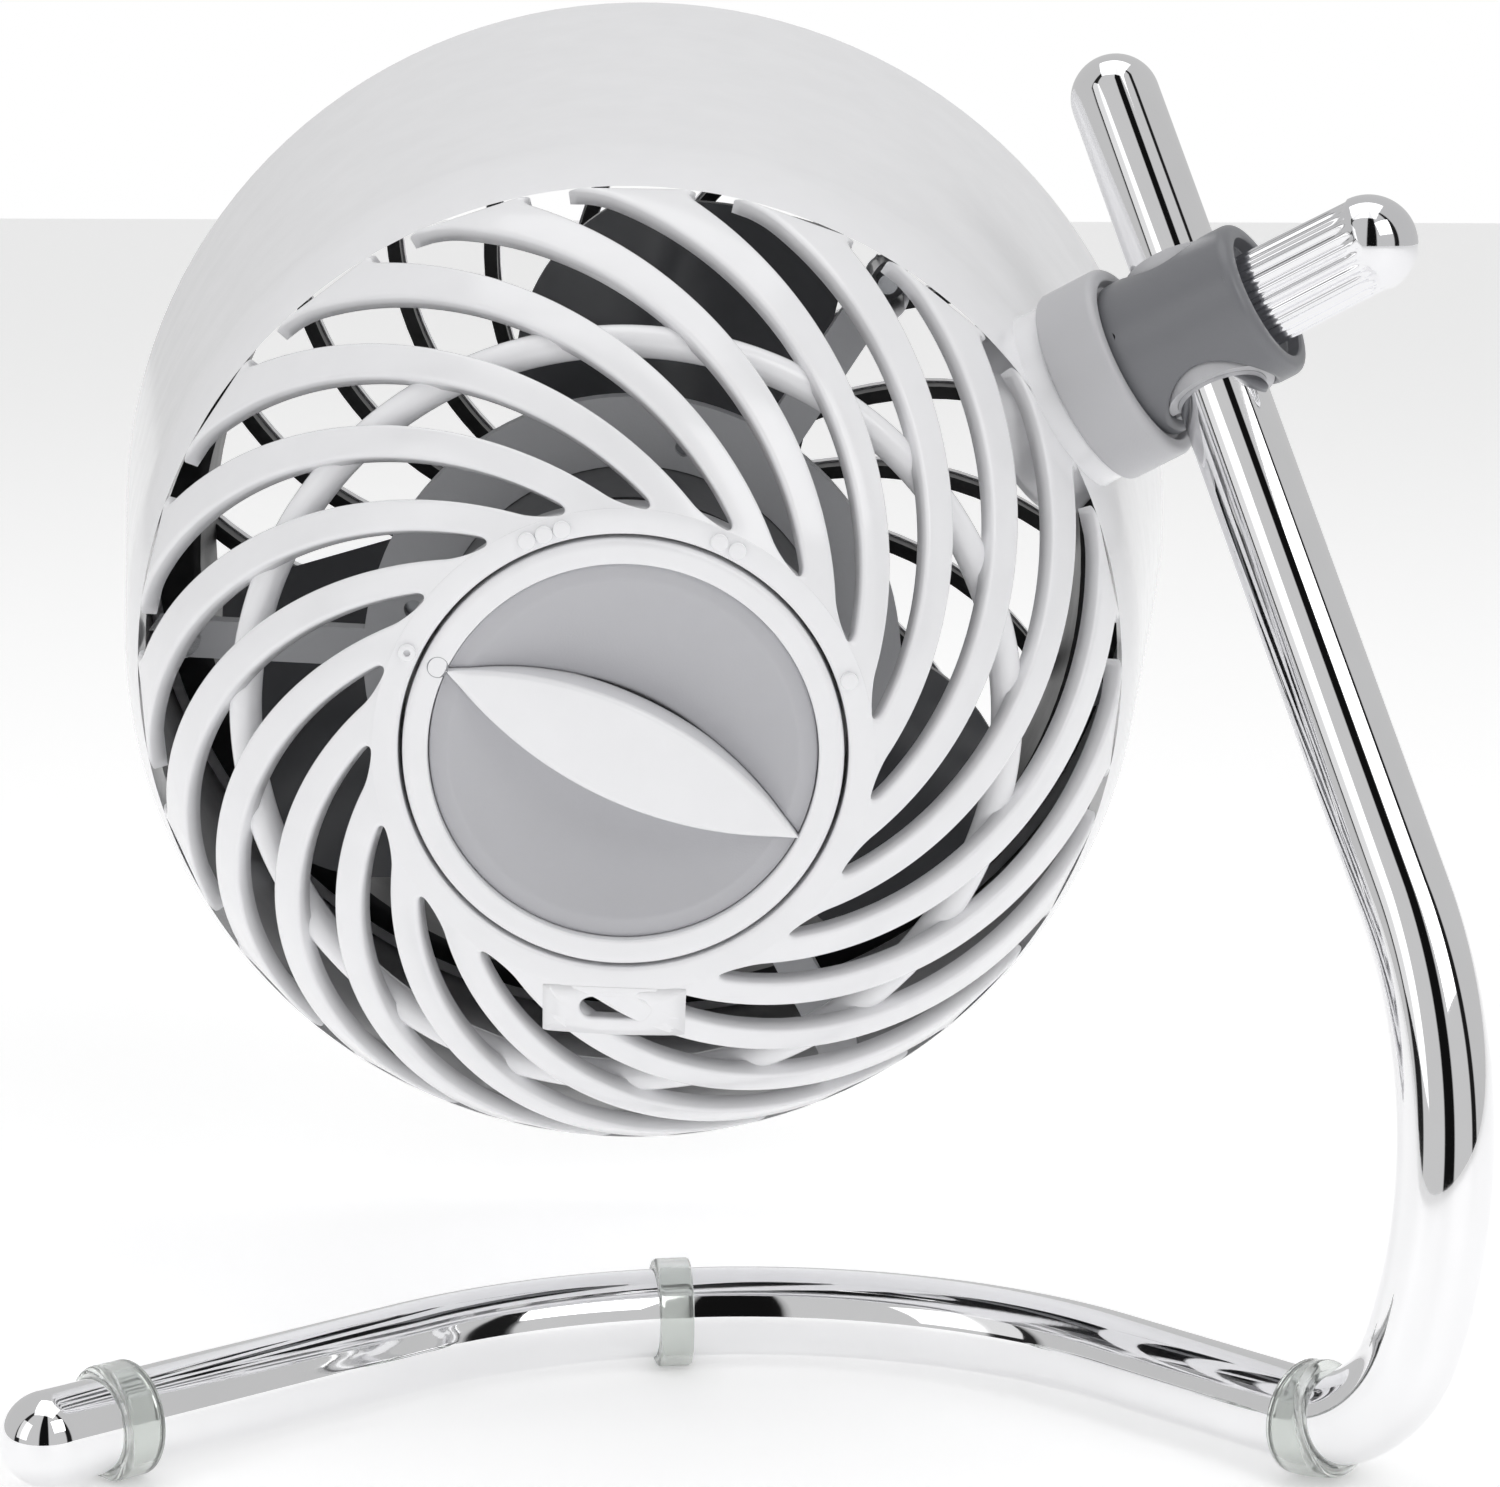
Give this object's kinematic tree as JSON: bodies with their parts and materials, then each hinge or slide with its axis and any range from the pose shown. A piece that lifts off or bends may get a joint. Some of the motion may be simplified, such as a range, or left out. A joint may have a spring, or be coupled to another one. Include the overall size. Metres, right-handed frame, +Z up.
{
  "type": "desk fan",
  "caption": "Small round desk fan on one bent chromed tube, with a tilting, swivelling and sliding head clamp, a spiral slotted rear shell and a rotary speed knob.",
  "frame": {"origin": "centre of the bounding box on the floor under the foot rings", "axes": "+Z up, +X towards the left end of the base seen from the front, the fan blows towards -Y"},
  "size_m": [0.2259, 0.1818, 0.2164],
  "materials": {
    "chromed_tube": "mirror chrome on bent steel tube",
    "chromed_knob": "mirror chrome over moulded flutes",
    "soft_ring": "clear silicone, slightly cloudy",
    "white_plastic": "glossy moulded white",
    "pale_plastic": "satin pale grey",
    "grey_plastic": "satin mid grey",
    "collar_plastic": "satin light grey",
    "dish_plastic": "fine satin grey",
    "black_plastic": "moulded black",
    "black_enamel": "black enamel",
    "blade_plastic": "smoke grey moulded",
    "steel": "zinc plated",
    "copper_wire": "enamelled copper wire",
    "bronze": "sintered bronze",
    "cast_metal": "as cast"
  },
  "bodies": {
    "stand": {"stand_tube": "chromed_tube", "tube_cap_top": "chromed_tube", "tube_cap_base": "chromed_tube", "foot_ring_left": "soft_ring", "foot_ring_middle": "soft_ring", "foot_ring_right": "soft_ring"},
    "slider": {"clamp_bush": "pale_plastic"},
    "clamp": {"clamp_body": "grey_plastic", "pivot_washer": "steel", "pivot_screw": "steel"},
    "pad": {"clamp_pad": "pale_plastic"},
    "clamp_screw": {"clamp_knob": "chromed_knob", "clamp_stud": "steel"},
    "head": {"pivot_collar": "collar_plastic", "rear_shell": "white_plastic", "switch_body": "black_plastic", "motor_mount": "collar_plastic", "motor_mount_screws": "steel", "motor_cover": "black_enamel", "stator_core": "steel", "motor_coils": "copper_wire", "rear_bearing": "bronze", "front_bearing": "bronze", "motor_front_plate": "cast_metal", "motor_screws": "steel", "inner_duct": "black_plastic", "grille_inner": "black_plastic", "grille_trim": "white_plastic", "front_bezel": "white_plastic", "grille_cap": "white_plastic", "grille_screws": "steel"},
    "rotor": {"motor_shaft": "steel", "rotor_core": "steel", "fan_blade": "blade_plastic", "blade_nut": "black_plastic"},
    "speed_dial": {"speed_knob": "white_plastic", "knob_dish_upper": "dish_plastic", "knob_dish_lower": "dish_plastic", "switch_shaft": "steel"}
  },
  "joints": [
    {"name": "clamp_slide", "type": "slide", "parent": "stand", "child": "slider", "axis": [0.3012, -0.4573, 0.8367], "range_m": [-0.005, 0.028]},
    {"name": "clamp_swivel", "type": "hinge", "parent": "slider", "child": "clamp", "pos_m": [-0.07197, 0.0211, 0.16518], "axis": [0.3012, -0.4573, 0.8367], "range_deg": [-30, 30]},
    {"name": "pad_slide", "type": "slide", "parent": "clamp", "child": "pad", "axis": [-0.8387, 0.2904, 0.4607], "range_m": [0, 0.0015]},
    {"name": "clamp_knob_turn", "type": "hinge", "parent": "pad", "child": "clamp_screw", "pos_m": [-0.08875, 0.02691, 0.17439], "axis": [-0.8387, 0.2904, 0.4607], "range_deg": [0, 540]},
    {"name": "head_tilt", "type": "hinge", "parent": "clamp", "child": "head", "pos_m": [-0.05855, 0.01645, 0.15781], "axis": [-0.8387, 0.2904, 0.4607], "range_deg": [-25, 120]},
    {"name": "fan_spin", "type": "hinge", "parent": "head", "child": "rotor", "pos_m": [0.01639, -0.00017, 0.11517], "axis": [-0.0567, 0.9909, -0.1223], "continuous": true},
    {"name": "speed_dial_turn", "type": "hinge", "parent": "head", "child": "speed_dial", "pos_m": [0.0127, 0.06424, 0.10723], "axis": [0.0567, -0.9909, 0.1223], "range_deg": [0, 135]}
  ],
  "couplings": [
    {"joint": "clamp_knob_turn", "follows": "pad_slide", "rad_per_m": 6283.2}
  ]
}
